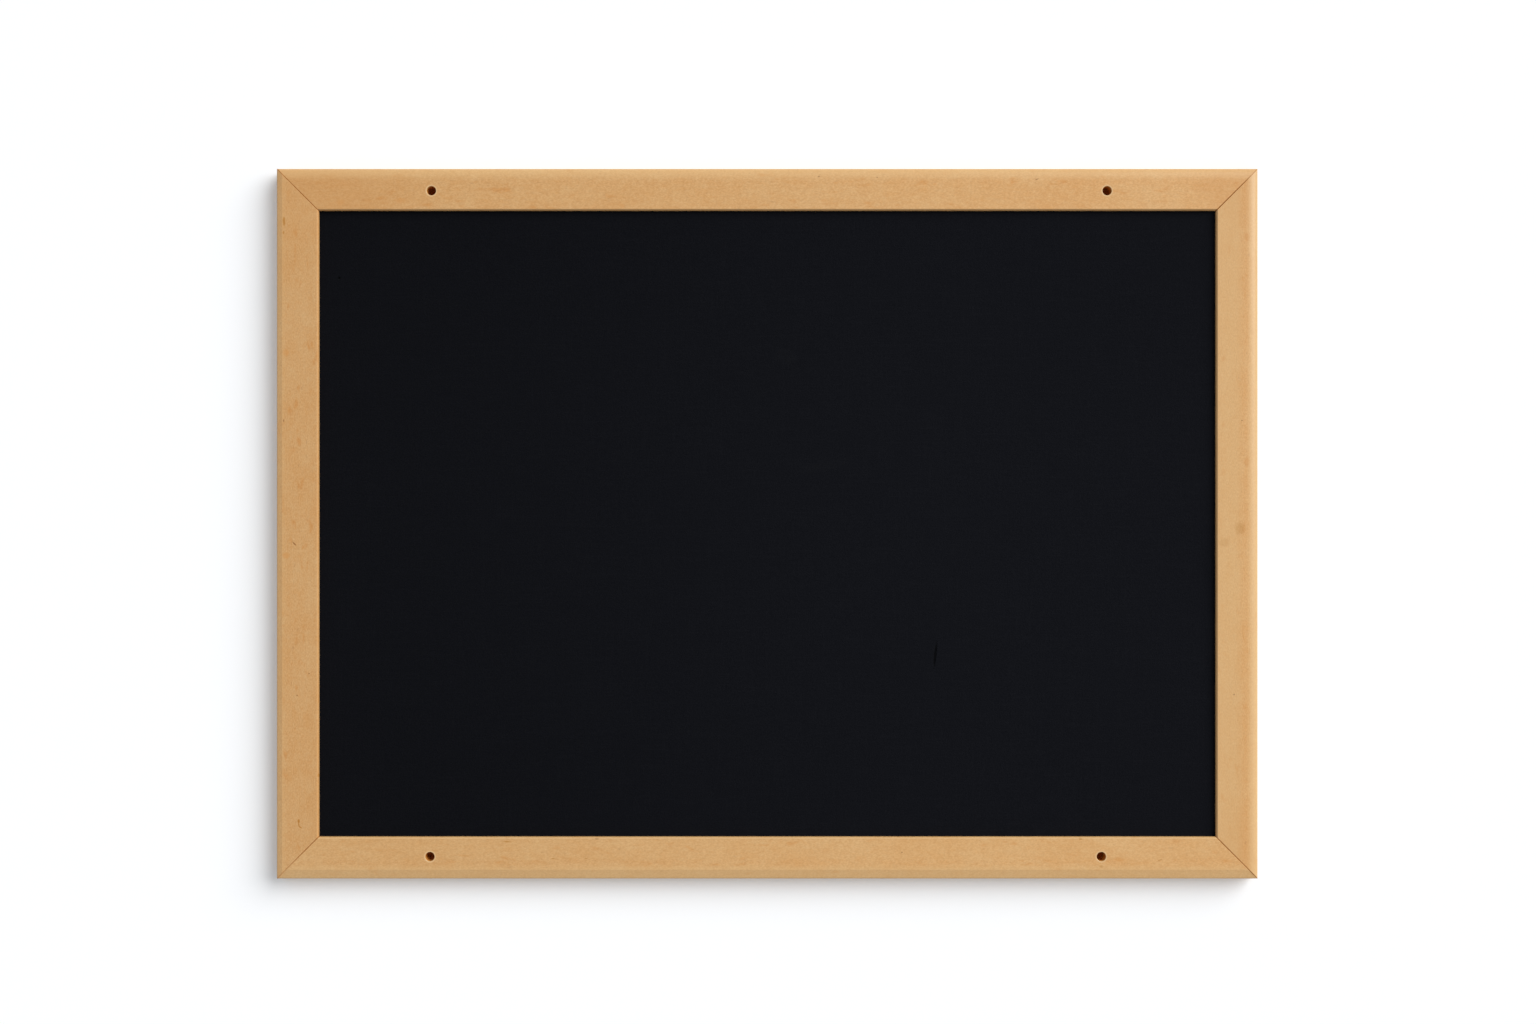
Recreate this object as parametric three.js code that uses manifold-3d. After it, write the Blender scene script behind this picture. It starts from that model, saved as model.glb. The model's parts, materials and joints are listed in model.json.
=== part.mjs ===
// Felt bulletin board: a mitred hardwood frame with four screw holes, holding a felt-faced panel.
// Millimetres. X runs right, Y runs into the wall and Z runs up; the wall's plane is Y = 0, behind
// the middle of the board, and the board's front faces -Y.
import * as THREE from "three";
import { mergeVertices } from "three/addons/utils/BufferGeometryUtils.js";
import Module from "manifold-3d";

const wasm = await Module();
wasm.setup();

// The board over its outer edges
const BOARD_WIDTH = 630;
const BOARD_HEIGHT = 456;

// The frame's moulding, which is the same on all four sides
const BAR_WIDTH = 27;
const LIP_DEPTH = 3.5; // from the front face to the felt
const ROUND_WIDTH = 7; // the rounding along the outer front edge, seen from the front
const ROUND_DEPTH = 3;
const ROUND_STEPS = 7;
const REBATE_WIDTH = 10; // how far the lip reaches over the panel's rebate
const ARRIS = 0.6; // the bevel that takes off the other sharp edges

// The panel, from its front to its back
const FELT_THICKNESS = 1.5;
const CORE_THICKNESS = 6;
const BACKING_THICKNESS = 2.5;
const PANEL_CLEARANCE = 1; // between the panel's edges and the rebate's walls
const BACK_RECESS = 2.5; // from the back of the frame to the back of the panel

// The screw holes, two through each rail; each distance runs from that end of the rail
const HOLE_DIAMETER = 5.8;
const HOLE_MOUTH = 0.4; // how much wider and how deep the worn mouth is
const HOLE_STEPS = 24;
const HOLE_FROM_OUTER_EDGE = 14.4;
const TOP_HOLE_FROM_LEFT = 99.4;
const TOP_HOLE_FROM_RIGHT = 97.1;
const BOTTOM_HOLE_FROM_LEFT = 98.5;
const BOTTOM_HOLE_FROM_RIGHT = 100.8;

// The wedge nails, driven from behind across each mitre with the bend towards the outer corner
const NAILS_PER_MITRE = 2;
const NAIL_FROM_OUTER_EDGE = 5.5;
const NAIL_PITCH = 5.5;
const NAIL_LEG = 6;
const NAIL_THICKNESS = 0.5;
const NAIL_DEPTH = 10;
const NAIL_SUNK = 0.3; // how far a nail is set below the back of the frame

// The flat steel points, pushed into the rebate's walls, that keep the panel in
const POINTS_PER_RAIL = 3;
const POINTS_PER_STILE = 2;
const POINT_WIDTH = 6;
const POINT_TIP_WIDTH = 2;
const POINT_TAPER = 4;
const POINT_BITE = 6; // into the wood
const POINT_REACH = 8; // out over the rebate
const POINT_THICKNESS = 0.5;

const STEEL_CLEARANCE = 0.3; // around each nail and point in its slot
const CUT_SPARE = 1; // how far a cutting shape runs past the face it starts from

// What follows from these
const panelDepth = FELT_THICKNESS + CORE_THICKNESS + BACKING_THICKNESS;
const rebateDepth = BACK_RECESS + panelDepth;
const barDepth = rebateDepth + LIP_DEPTH;
const rebateWall = BAR_WIDTH - REBATE_WIDTH; // measured from the outer edge
const panelWidth = BOARD_WIDTH - 2 * (rebateWall + PANEL_CLEARANCE);
const panelHeight = BOARD_HEIGHT - 2 * (rebateWall + PANEL_CLEARANCE);

const wood = { color: 0xd2a570, roughness: 0.5, metalness: 0 };
const felt = { color: 0x111215, roughness: 1, metalness: 0 };
const fibreboard = { color: 0x9b8467, roughness: 0.95, metalness: 0 };
const hardboard = { color: 0x6f4c31, roughness: 0.6, metalness: 0 };
const steel = { color: 0xa9abad, roughness: 0.35, metalness: 1 };

function named(name, geometry, finish) {
  const mesh = new THREE.Mesh(geometry, new THREE.MeshStandardMaterial(finish));
  mesh.name = name;
  return mesh;
}

// A geometry as a solid that can be cut.
function solidOf(geometry) {
  const bare = geometry.clone();
  bare.deleteAttribute("normal");
  bare.deleteAttribute("uv");
  const merged = mergeVertices(bare);
  const vertProperties = merged.attributes.position.array;
  const triVerts = new Uint32Array(merged.index.array);
  return new wasm.Manifold(new wasm.Mesh({ numProp: 3, vertProperties, triVerts }));
}

function cut(geometry, cutters) {
  let solid = solidOf(geometry);
  for (const cutter of cutters) {
    solid = solid.subtract(solidOf(cutter));
  }
  const { vertProperties, triVerts } = solid.getMesh();
  const result = new THREE.BufferGeometry();
  result.setAttribute("position", new THREE.BufferAttribute(vertProperties, 3));
  result.setIndex(new THREE.BufferAttribute(triVerts, 1));
  const faceted = result.toNonIndexed();
  faceted.computeVertexNormals();
  return faceted;
}

// An outline in X and Z with a thickness that runs forwards from the back's plane.
function plate(outline, thickness) {
  const settings = { depth: thickness, bevelEnabled: false };
  return new THREE.ExtrudeGeometry(outline, settings).rotateX(Math.PI / 2);
}

function polygon(points) {
  return new THREE.Shape(points.map(([x, y]) => new THREE.Vector2(x, y)));
}

// The bar's section: x from the outer edge inwards, y from the back forwards.
function mouldingSection() {
  const section = new THREE.Shape();
  section.moveTo(ARRIS, 0);
  section.lineTo(rebateWall, 0);
  section.lineTo(rebateWall, rebateDepth);
  section.lineTo(BAR_WIDTH, rebateDepth);
  section.lineTo(BAR_WIDTH, barDepth - ARRIS);
  section.lineTo(BAR_WIDTH - ARRIS, barDepth);
  const roundStart = barDepth - ROUND_DEPTH;
  section.absellipse(ROUND_WIDTH, roundStart, ROUND_WIDTH, ROUND_DEPTH, Math.PI / 2, Math.PI);
  section.lineTo(0, ARRIS);
  return section;
}

// A bar of the frame's top side, with both ends mitred: each end is drawn back by the distance
// from the outer edge.
function mitredBar(length, across) {
  const settings = { depth: length, bevelEnabled: false, curveSegments: ROUND_STEPS };
  const bar = new THREE.ExtrudeGeometry(mouldingSection(), settings);
  const position = bar.attributes.position;
  for (let i = 0; i < position.count; i += 1) {
    const inwards = position.getX(i);
    const end = position.getZ(i) > 0 ? length - inwards : inwards;
    position.setZ(i, end - length / 2);
  }
  const inwardsAxis = new THREE.Vector3(0, 0, -1);
  const forwardsAxis = new THREE.Vector3(0, -1, 0);
  const alongAxis = new THREE.Vector3(-1, 0, 0);
  bar.applyMatrix4(new THREE.Matrix4().makeBasis(inwardsAxis, forwardsAxis, alongAxis));
  return bar.translate(0, 0, across / 2);
}

// The drill that makes one screw hole, with its worn mouth at the front.
function holeCutter(along, across) {
  const radius = HOLE_DIAMETER / 2;
  const profile = [
    [0, -CUT_SPARE],
    [radius, -CUT_SPARE],
    [radius, barDepth - HOLE_MOUTH],
    [radius + HOLE_MOUTH + CUT_SPARE, barDepth + CUT_SPARE],
    [0, barDepth + CUT_SPARE],
  ].map(([x, y]) => new THREE.Vector2(x, y));
  const drill = new THREE.LatheGeometry(profile, HOLE_STEPS).rotateX(Math.PI);
  return drill.translate(along, 0, across / 2 - HOLE_FROM_OUTER_EDGE);
}

// A wedge nail's bent strip, with its bend at the origin and its legs towards -X and -Z.
function nailOutline(spare) {
  const inner = -NAIL_THICKNESS - spare;
  const tip = -NAIL_LEG - spare;
  return polygon([
    [spare, spare],
    [tip, spare],
    [tip, inner],
    [inner, inner],
    [inner, tip],
    [spare, tip],
  ]);
}

// Where the nails of a mitre stand, measured from both outer edges.
function nailDistances() {
  const numbers = Array.from({ length: NAILS_PER_MITRE }, (_, i) => i);
  return numbers.map((i) => NAIL_FROM_OUTER_EDGE + i * NAIL_PITCH);
}

// The nail slots at both ends of a bar.
function nailSlots(length, across) {
  const depth = CUT_SPARE + NAIL_SUNK + NAIL_DEPTH + STEEL_CLEARANCE;
  return nailDistances().flatMap((distance) => {
    const right = plate(nailOutline(STEEL_CLEARANCE), depth);
    const left = right.clone().rotateY(-Math.PI / 2);
    const height = across / 2 - distance;
    right.translate(length / 2 - distance, CUT_SPARE, height);
    left.translate(distance - length / 2, CUT_SPARE, height);
    return [right, left];
  });
}

// A retaining point seen from behind: its blunt end hangs over the panel and its tip is in the
// wood, with the rebate's wall at the origin.
function pointOutline(spare) {
  const half = POINT_WIDTH / 2 + spare;
  const halfTip = POINT_TIP_WIDTH / 2 + spare;
  const tip = POINT_BITE + spare;
  return polygon([
    [-half, -POINT_REACH],
    [half, -POINT_REACH],
    [half, tip - POINT_TAPER],
    [halfTip, tip],
    [-halfTip, tip],
    [-half, tip - POINT_TAPER],
  ]);
}

// Where the points stand along a side: evenly along the panel's edge.
function pointPlaces(side) {
  const pitch = side.panelLength / side.points;
  const numbers = Array.from({ length: side.points }, (_, i) => i);
  return numbers.map((i) => (i + 0.5) * pitch - side.panelLength / 2);
}

function pointSlots(side) {
  const thickness = POINT_THICKNESS + 2 * STEEL_CLEARANCE;
  const front = STEEL_CLEARANCE + POINT_THICKNESS - BACK_RECESS;
  return pointPlaces(side).map((along) => {
    const slot = plate(pointOutline(STEEL_CLEARANCE), thickness);
    return slot.translate(along, front, side.across / 2 - rebateWall);
  });
}

// One side of the frame, modelled as the top one and turned into its place: its bar, its points
// and the nails of the mitre at its right-hand end.
function frameSide(side) {
  const group = new THREE.Group();
  group.rotation.y = side.turn;
  const cutters = [
    ...side.holes.map((along) => holeCutter(along, side.across)),
    ...nailSlots(side.length, side.across),
    ...pointSlots(side),
  ];
  const bar = cut(mitredBar(side.length, side.across), cutters);
  group.add(named(side.name, bar, wood));

  pointPlaces(side).forEach((along, i) => {
    const point = plate(pointOutline(0), POINT_THICKNESS);
    const mesh = named(`retaining_point_${side.edge}_${i + 1}`, point, steel);
    mesh.position.set(along, POINT_THICKNESS - BACK_RECESS, side.across / 2 - rebateWall);
    group.add(mesh);
  });

  nailDistances().forEach((distance, i) => {
    const nail = named(`v_nail_${side.corner}_${i + 1}`, plate(nailOutline(0), NAIL_DEPTH), steel);
    nail.position.set(side.length / 2 - distance, -NAIL_SUNK, side.across / 2 - distance);
    group.add(nail);
  });
  return group;
}

// A sheet of the panel whose front lies this far behind the front of the panel.
function panelSheet(name, thickness, behind, finish) {
  const sheet = named(name, new THREE.BoxGeometry(panelWidth, thickness, panelHeight), finish);
  sheet.position.y = behind + thickness / 2 - rebateDepth;
  return sheet;
}

function panel() {
  const group = new THREE.Group();
  const backingStart = FELT_THICKNESS + CORE_THICKNESS;
  group.add(panelSheet("felt_face", FELT_THICKNESS, 0, felt));
  group.add(panelSheet("core_board", CORE_THICKNESS, FELT_THICKNESS, fibreboard));
  group.add(panelSheet("backing_board", BACKING_THICKNESS, backingStart, hardboard));
  return group;
}

const rail = {
  length: BOARD_WIDTH,
  across: BOARD_HEIGHT,
  panelLength: panelWidth,
  points: POINTS_PER_RAIL,
};
const stile = {
  length: BOARD_HEIGHT,
  across: BOARD_WIDTH,
  panelLength: panelHeight,
  points: POINTS_PER_STILE,
  holes: [],
};
const leftEnd = -BOARD_WIDTH / 2;
const rightEnd = BOARD_WIDTH / 2;

// The bottom rail is turned half round, so its holes are written from the other end.
const sides = [
  {
    ...rail,
    name: "top_rail",
    edge: "top",
    corner: "top_right",
    turn: 0,
    holes: [leftEnd + TOP_HOLE_FROM_LEFT, rightEnd - TOP_HOLE_FROM_RIGHT],
  },
  { ...stile, name: "right_stile", edge: "right", corner: "bottom_right", turn: Math.PI / 2 },
  {
    ...rail,
    name: "bottom_rail",
    edge: "bottom",
    corner: "bottom_left",
    turn: Math.PI,
    holes: [leftEnd + BOTTOM_HOLE_FROM_RIGHT, rightEnd - BOTTOM_HOLE_FROM_LEFT],
  },
  { ...stile, name: "left_stile", edge: "left", corner: "top_left", turn: -Math.PI / 2 },
];

const board = new THREE.Group();
for (const side of sides) {
  board.add(frameSide(side));
}
board.add(panel());

export default board;
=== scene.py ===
import json
import math

import bmesh
import bpy
from mathutils import Matrix, Vector, noise


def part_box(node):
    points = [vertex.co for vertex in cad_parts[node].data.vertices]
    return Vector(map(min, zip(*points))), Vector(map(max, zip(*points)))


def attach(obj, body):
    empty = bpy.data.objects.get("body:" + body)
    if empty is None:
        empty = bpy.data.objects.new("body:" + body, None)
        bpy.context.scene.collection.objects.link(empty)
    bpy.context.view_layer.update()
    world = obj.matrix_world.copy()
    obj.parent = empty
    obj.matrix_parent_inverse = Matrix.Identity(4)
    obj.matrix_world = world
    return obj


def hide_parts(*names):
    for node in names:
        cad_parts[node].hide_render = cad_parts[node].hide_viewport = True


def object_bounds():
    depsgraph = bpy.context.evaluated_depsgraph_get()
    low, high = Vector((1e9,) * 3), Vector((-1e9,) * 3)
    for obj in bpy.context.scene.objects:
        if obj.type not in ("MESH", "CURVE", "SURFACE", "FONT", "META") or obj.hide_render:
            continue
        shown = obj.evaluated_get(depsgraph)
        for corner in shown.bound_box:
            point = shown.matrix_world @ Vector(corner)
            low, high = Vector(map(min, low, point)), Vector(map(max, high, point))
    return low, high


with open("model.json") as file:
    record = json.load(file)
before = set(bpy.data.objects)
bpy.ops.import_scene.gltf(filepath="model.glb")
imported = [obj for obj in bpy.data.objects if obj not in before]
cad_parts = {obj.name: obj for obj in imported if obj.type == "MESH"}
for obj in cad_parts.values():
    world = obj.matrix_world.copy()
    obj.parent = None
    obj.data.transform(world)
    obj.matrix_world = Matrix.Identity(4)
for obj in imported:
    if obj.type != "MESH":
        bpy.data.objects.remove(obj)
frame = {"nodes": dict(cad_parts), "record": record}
cad_low, cad_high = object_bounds()

# The photograph's view: square on to the board, from far enough for a normal lens, and aimed
# a little above the board's middle. X runs right, Y into the wall, Z up, in metres.
mm = 0.001
lens_mm = 50
sensor_mm = 36
view_width = 985.3 * mm  # what the picture takes in across the board's front
view_reach = 50  # how far off it still sees
aim = Vector((0.4 * mm, cad_low.y, 7.5 * mm))

camera = bpy.data.objects.new("camera", bpy.data.cameras.new("camera"))
camera.data.lens = lens_mm
camera.data.sensor_width = sensor_mm
camera.data.clip_end = view_reach
camera.location = aim - Vector((0, view_width * lens_mm / sensor_mm, 0))
camera.rotation_euler = (math.radians(90), 0, 0)
bpy.context.scene.collection.objects.link(camera)
bpy.context.scene.camera = camera
bpy.context.scene.view_settings.view_transform = "Standard"


# Soft daylight from the upper right, with even light from all round. A lamp behind the wall
# lights the back of the board, which stands open there. The sky itself looks white.
class Reading:
    """A number that differs from spot to spot or ray to ray. Sums on it add Math nodes."""

    def __init__(self, mixture, socket):
        self.mixture = mixture
        self.socket = socket

    def worked(self, operation, first, second=0.0):
        settings = {"operation": operation}
        return self.mixture.add("ShaderNodeMath", settings, {0: first, 1: second})

    def __add__(self, other):
        return self.worked("ADD", self, other)

    def __radd__(self, other):
        return self.worked("ADD", other, self)

    def __sub__(self, other):
        return self.worked("SUBTRACT", self, other)

    def __rsub__(self, other):
        return self.worked("SUBTRACT", other, self)

    def __mul__(self, other):
        return self.worked("MULTIPLY", self, other)

    def __rmul__(self, other):
        return self.worked("MULTIPLY", other, self)

    def __abs__(self):
        return self.worked("ABSOLUTE", self)

    def max(self, other):
        return self.worked("MAXIMUM", self, other)

    def min(self, other):
        return self.worked("MINIMUM", self, other)

    def wave(self, pitch):
        """A sine from -1 to 1 that comes round once every pitch."""
        return self.worked("SINE", self * (math.tau / pitch))

    def rise(self, start, end):
        """0 before start, 1 after end, and smooth between them."""
        settings = {"interpolation_type": "SMOOTHSTEP"}
        inputs = {"Value": self, "From Min": start, "From Max": end}
        return self.mixture.add("ShaderNodeMapRange", settings, inputs)

    def fall(self, start, end):
        """1 before start, 0 after end, and smooth between them."""
        settings = {"interpolation_type": "SMOOTHSTEP"}
        inputs = {"Value": self, "From Min": start, "From Max": end, "To Min": 1, "To Max": 0}
        return self.mixture.add("ShaderNodeMapRange", settings, inputs)


class Mixture:
    """The nodes of the sky or of a finish, while they are being put together."""

    def __init__(self, tree):
        self.nodes = tree.nodes
        self.links = tree.links

    def set(self, socket, value):
        """Links a reading to a socket, or writes a number or a colour on it."""
        if isinstance(value, Reading):
            self.links.new(value.socket, socket)
        elif isinstance(value, tuple) and len(socket.default_value) == 4:
            socket.default_value = (*value[:3], 1)
        else:
            socket.default_value = value

    def add(self, kind, settings, inputs, output=0):
        """Adds a node: its settings first, then its sockets. Gives one of its outputs."""
        node = self.nodes.new(kind)
        for name, value in settings.items():
            setattr(node, name, value)
        for key, value in inputs.items():
            self.set(node.inputs[key], value)
        return Reading(self, node.outputs[output])

    def mix(self, share, first, second):
        """One colour that goes over into another as the share goes from 0 to 1."""
        settings = {"data_type": "RGBA"}
        return self.add("ShaderNodeMix", settings, {0: share, 6: first, 7: second}, 2)

    def looked_at(self):
        """1 where something is seen, straight or in a mirror or a glass, and 0 as a light."""
        seen = self.add("ShaderNodeLightPath", {}, {}, "Is Camera Ray")
        for name in ("Is Glossy Ray", "Is Transmission Ray"):
            seen = seen.max(self.add("ShaderNodeLightPath", {}, {}, name))
        return seen


def daylight(name, towards, strength, spread):
    lamp = bpy.data.lights.new(name, "SUN")
    lamp.energy = strength
    lamp.angle = math.radians(spread)
    holder = bpy.data.objects.new(name, lamp)
    holder.rotation_euler = Vector(towards).to_track_quat("-Z", "Y").to_euler()
    bpy.context.scene.collection.objects.link(holder)


daylight("window_light", (-0.66, 0.62, -0.47), 3.0, 50)
daylight("back_light", (0.5, -0.8, -0.4), 1.9, 40)

sky_strength = 0.42
sky_blue = (0.93, 0.98, 1.04)
white = (1.0, 1.0, 1.0)

sky = bpy.data.worlds.new("sky")
sky.use_nodes = True
bpy.context.scene.world = sky
air = Mixture(sky.node_tree)
background = air.nodes["Background"]
looked_at = air.looked_at()
air.set(background.inputs["Strength"], looked_at * (1 - sky_strength) + sky_strength)
air.set(background.inputs["Color"], air.mix(looked_at, sky_blue, white))


# The frame's four bars: one moulding in a pale, close-grained hardwood, rebated at the back for
# the panel, mitred, glued and varnished. The rails are drilled for the wall screws, and slots
# take the wedge nails across each mitre and the steel points that hold the panel.
board_width = cad_high.x - cad_low.x
board_height = cad_high.z - cad_low.z
bar_depth = -cad_low.y
bar_width = 27 * mm
rebate_wall = 17 * mm  # from the outer edge to the wall that the panel's edge faces
rebate_depth = -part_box("felt_face")[0].y
arris = 0.6 * mm

lip_width = 1.0 * mm  # the worn chamfer along the edge that looks on the felt
lip_fall = 1.2 * mm
lip_profile = (  # how it is worn: shares of its width from the felt, and of its fall
    (0, 1), (0.04, 0.90), (0.12, 0.78), (0.50, 0.40), (0.76, 0.15), (0.88, 0.05),
)

soft_width = 7 * mm  # the top and right bars: a soft rounding
soft_depth = 2.8 * mm
soft_steps = 16
bevel_slope = math.radians(15)  # the bottom and left bars: a flatter bevel with a crisp start
bevel_corner = 1.1 * mm
bevel_steps = 8
bottom_bevel = 6.0 * mm
left_bevel = 3.7 * mm
front_steps = 4  # rows of points across the flat of the front

nail_pitch = 5.5 * mm  # between the two nails of a mitre, and from the outer edge to the first
nail_leg = 6 * mm
nail_thickness = 0.5 * mm
steel_spare = 0.15 * mm
slot_depth = 3 * mm  # how deep the slots are cut that the nails' back ends show in
cut_spare = 1 * mm  # how far a cutting shape runs past the wood

mitre_widths = {  # half the width of each mitre's groove, at the outer and the inner corner
    "top_left": (0.12 * mm, 0.15 * mm), "top_right": (0.10 * mm, 0.34 * mm),
    "bottom_left": (0.10 * mm, 0.20 * mm), "bottom_right": (0.11 * mm, 0.27 * mm),
}
groove_slope = 1.3
groove_rise = 0.3 * mm
groove_past = 3 * mm
mitre_miss = 0.02 * mm  # keeps the bottom of the groove off the mitre's own plane

holes = []  # the middle of each screw hole
for opening in frame["record"]["physics"]["openings"]:
    if opening["name"].endswith("screw_hole"):
        low, high = [Vector(corner) for corner in opening["box_m"]]
        holes.append((low + high) / 2)
hole_radius = 2.9 * mm
hole_sides = 64
hole_mouth = 0.4 * mm
flat_on = Matrix.Rotation(math.radians(90), 4, "X")  # lays what faces up on the wall's plane
hair = 0.02 * mm  # nearer than this, two places count as one


def soft_edge():
    """The outer front edge from the flat of the front round to the side."""
    line = []
    for step in range(soft_steps + 1):
        lean = math.radians(90) * step / soft_steps
        turn = math.atan2(soft_width * math.sin(lean), soft_depth * math.cos(lean))
        inwards = soft_width * (1 - math.sin(turn))
        line.append((inwards, bar_depth - soft_depth * (1 - math.cos(turn))))
    return line


def bevelled_edge(width):
    """The same edge with a bevel of this width and a small rounding at its outer end."""
    fall = math.tan(bevel_slope) * (width - bevel_corner)
    line = [(width, bar_depth), (bevel_corner, bar_depth - fall)]
    for step in range(1, bevel_steps + 1):
        lean = bevel_slope + (math.radians(90) - bevel_slope) * step / bevel_steps
        inwards = bevel_corner * (1 - math.sin(lean)) / (1 - math.sin(bevel_slope))
        down = bevel_corner * (math.cos(bevel_slope) - math.cos(lean))
        line.append((inwards, bar_depth - fall - down))
    return line


def outline(edge):
    """The bar's section: how far in from the outer edge, and how far forward from the back."""
    line = [(arris, 0), (rebate_wall - arris / 2, 0), (rebate_wall, arris / 2)]
    line += [(rebate_wall, rebate_depth), (bar_width, rebate_depth)]
    for across, down in lip_profile:
        line.append((bar_width - lip_width * across, bar_depth - lip_fall * down))
    flat_end, flat_start = bar_width - lip_width, edge[0][0]
    for step in range(front_steps):
        line.append((flat_end + (flat_start - flat_end) * step / front_steps, bar_depth))
    return line + edge + [(0, arris)]


def outwards(corner):
    """Which way a corner of the board lies, in X and Z."""
    return Vector((1 if "right" in corner else -1, 0, 1 if "top" in corner else -1))


def nail_bend(corner, number):
    """Where the bend of one of a mitre's nails lies, in the wall's plane."""
    in_from_edge = number * nail_pitch
    way = outwards(corner)
    return Vector((way.x * (board_width / 2 - in_from_edge), 0,
                   way.z * (board_height / 2 - in_from_edge)))


def box_into(mesh, low, high):
    """Adds a box between two corners."""
    low, high = Vector(map(min, low, high)), Vector(map(max, low, high))
    place = Matrix.Translation((low + high) / 2) @ Matrix.Diagonal((*(high - low), 1))
    bmesh.ops.create_cube(mesh, size=1, matrix=place)


def groove_into(mesh, corner, upright):
    """Adds the fine V that shows at the front along a mitre, as this bar's half of it needs."""
    way = outwards(corner)
    outer = Vector((way.x * board_width / 2, 0, way.z * board_height / 2))
    inwards = Vector((-way.x, 0, -way.z)).normalized()
    to_stile = Vector((way.x, 0, -way.z)).normalized()
    ends = (-groove_past, bar_width * math.sqrt(2) + groove_past)
    wedge = []
    for run, half in zip(ends, mitre_widths[corner]):
        middle = outer + inwards * run
        top = half + groove_rise / groove_slope
        for side in (-1, 1):
            wedge.append(middle + to_stile * side * top - Vector((0, bar_depth + groove_rise, 0)))
        missed = to_stile * (-mitre_miss if upright else mitre_miss)
        wedge.append(middle + missed - Vector((0, bar_depth - half * groove_slope, 0)))
    verts = [mesh.verts.new(point) for point in wedge]
    bmesh.ops.convex_hull(mesh, input=verts)


def cutters_for(name, upright, corners):
    """What is cut out of a bar: its screw holes, the slots for its nails and points, and the
    grooves along its mitres."""
    cutter = bmesh.new()
    for centre in holes:
        if not upright and (name == "top_rail") == (centre.z > 0):
            place = Matrix.Translation((centre.x, -bar_depth / 2, centre.z)) @ flat_on
            bmesh.ops.create_cone(cutter, cap_ends=True, segments=hole_sides,
                                  radius1=hole_radius, radius2=hole_radius,
                                  depth=bar_depth + 4 * cut_spare, matrix=place)
    thick = (steel_spare, -nail_thickness - steel_spare)
    long = (nail_thickness, -nail_leg - steel_spare)
    across, up = (thick, long) if upright else (long, thick)
    for corner in corners:
        groove_into(cutter, corner, upright)
        way = outwards(corner)
        for number in (1, 2):
            bend = nail_bend(corner, number)
            low = bend + Vector((way.x * across[0], -slot_depth, way.z * up[0]))
            high = bend + Vector((way.x * across[1], cut_spare, way.z * up[1]))
            box_into(cutter, low, high)
    for node in frame["nodes"]:
        if node.startswith("retaining_point_" + name.split("_")[0]):
            low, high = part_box(node)
            spare = Vector((steel_spare, steel_spare, steel_spare))
            box_into(cutter, low - spare, high + spare)
    return cutter


def on_hole(verts):
    """Whether points all lie on the wall of one of the screw holes."""
    for centre in holes:
        far = [math.hypot(v.co.x - centre.x, v.co.z - centre.z) for v in verts]
        if max(abs(f - hole_radius) for f in far) < hair:
            return True
    return False


def wear_mouths(bar):
    """Rounds the front rims of a bar's screw holes, and gives their walls the second finish."""
    mesh = bmesh.new()
    mesh.from_mesh(bar.data)
    rims = [edge for edge in mesh.edges if on_hole(edge.verts)
            and all(v.co.y < hair - bar_depth for v in edge.verts)]
    bmesh.ops.bevel(mesh, geom=rims, offset=hole_mouth, offset_type="OFFSET", segments=4,
                    affect="EDGES", profile=0.5, material=-1)
    for face in mesh.faces:
        face.material_index = 1 if on_hole(face.verts) else 0
    mesh.to_mesh(bar.data)
    mesh.free()


def object_of(mesh, name):
    bmesh.ops.recalc_face_normals(mesh, faces=mesh.faces)
    data = bpy.data.meshes.new(name)
    mesh.to_mesh(data)
    mesh.free()
    made = bpy.data.objects.new(name, data)
    bpy.context.scene.collection.objects.link(made)
    return made


def smooth(made, crease):
    """Shades an object smooth, apart from edges sharper than the crease in degrees."""
    made.data.shade_smooth()
    made.data.set_sharp_from_angle(angle=math.radians(crease))


def wood_bar(name, turn, edge, cutter):
    """One bar, shaped as the top one and turned into its place."""
    upright = turn % 180 != 0
    length, across = (board_height, board_width) if upright else (board_width, board_height)
    mesh = bmesh.new()
    ring = [mesh.verts.new((-length / 2, -forward, across / 2 - inwards))
            for inwards, forward in outline(edge)]
    grown = bmesh.ops.extrude_face_region(mesh, geom=[mesh.faces.new(ring)])
    far_end = [part for part in grown["geom"] if isinstance(part, bmesh.types.BMVert)]
    bmesh.ops.translate(mesh, vec=(length, 0, 0), verts=far_end)
    for side in (-1, 1):
        parts = mesh.verts[:] + mesh.edges[:] + mesh.faces[:]
        corner = (side * length / 2, 0, across / 2)
        bmesh.ops.bisect_plane(mesh, geom=parts, dist=1e-7, plane_co=corner,
                               plane_no=(side, 0, -1), clear_outer=True)
        bmesh.ops.holes_fill(mesh, edges=[e for e in mesh.edges if e.is_boundary])
    bmesh.ops.recalc_face_normals(mesh, faces=mesh.faces)
    bmesh.ops.transform(mesh, matrix=Matrix.Rotation(math.radians(turn), 4, "Y"),
                        verts=mesh.verts)
    bar = object_of(mesh, name)
    tool = object_of(cutter, "cutter")
    cut = bar.modifiers.new("cut", "BOOLEAN")
    cut.object = tool
    cut.solver = "EXACT"
    bpy.context.view_layer.update()
    shaped = bar.evaluated_get(bpy.context.evaluated_depsgraph_get())
    solid = bpy.data.meshes.new_from_object(shaped)
    bar.modifiers.clear()
    bar.data = solid
    bpy.data.objects.remove(tool)
    wear_mouths(bar)
    smooth(bar, 11)
    return bar


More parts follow.
